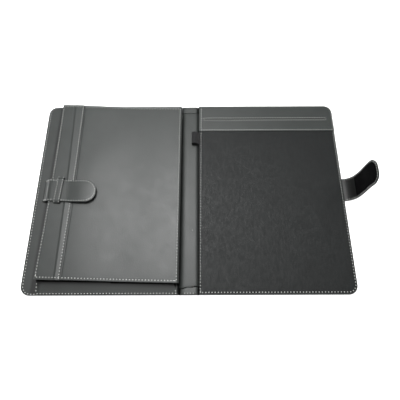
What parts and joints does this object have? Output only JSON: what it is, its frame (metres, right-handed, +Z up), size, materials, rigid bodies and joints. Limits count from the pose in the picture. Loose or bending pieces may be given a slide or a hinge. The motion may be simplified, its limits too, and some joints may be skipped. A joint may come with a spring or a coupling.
{
  "type": "padfolio",
  "caption": "Open leather writing folder with a bellows document pocket and tongue, pen loop, banded pad side and a hook-and-loop closing strap.",
  "frame": {"origin": "middle of the spine's underside, on the plane the open folder lies on", "axes": "+X towards the writing pad side and the closing strap, +Y towards the top edge, +Z up out of the open folder"},
  "size_m": [0.5311, 0.335, 0.0896],
  "materials": {
    "leather": "soft grained dark grey leatherette",
    "inner_leather": "matt dark grey leatherette",
    "panel_fabric": "dark woven lining",
    "board": "grey board",
    "foam": null,
    "elastic": "ribbed black elastic",
    "hook_and_loop": "black hook and loop tape"
  },
  "bodies": {
    "back_cover": {"back_cover_skin": "leather", "back_cover_foam": "foam", "back_cover_board": "board", "back_cover_lining": "panel_fabric", "pad_band": "leather", "pen_loop": "elastic", "strap_anchor": "leather"},
    "spine": {"spine_skin": "leather", "spine_board": "board", "gutter_lining": "leather"},
    "front_cover": {"front_cover_skin": "leather", "front_cover_foam": "foam", "front_cover_board": "board", "front_cover_lining": "inner_leather", "front_cover_loop_pad": "hook_and_loop", "pocket_gusset": "inner_leather", "pocket_front_panel": "leather", "pocket_band": "leather", "tongue_face": "leather", "tongue_backing": "inner_leather", "tongue_keeper": "leather"},
    "strap_base": {"strap_base_face": "leather", "strap_base_lining": "inner_leather"},
    "strap_flap": {"strap_flap_face": "leather", "strap_flap_lining": "inner_leather", "strap_hook_pad": "hook_and_loop"}
  },
  "joints": [
    {"name": "spine_fold", "type": "hinge", "parent": "back_cover", "child": "spine", "pos_m": [0.013, 0, 0.0009], "axis": [0, 1, 0], "range_deg": [0, 90], "deforming": ["pen_loop"]},
    {"name": "cover_fold", "type": "hinge", "parent": "spine", "child": "front_cover", "pos_m": [-0.013, 0, 0.0009], "axis": [0, 1, 0], "range_deg": [0, 90]},
    {"name": "strap_fold", "type": "hinge", "parent": "back_cover", "child": "strap_base", "pos_m": [0.25588, 0.003, 0.00297], "axis": [0, -1, 0], "range_deg": [0, 30]},
    {"name": "strap_wrap", "type": "hinge", "parent": "strap_base", "child": "strap_flap", "pos_m": [0.27002, 0.002, 0.02588], "axis": [0, -1, 0], "range_deg": [0, 60]}
  ]
}
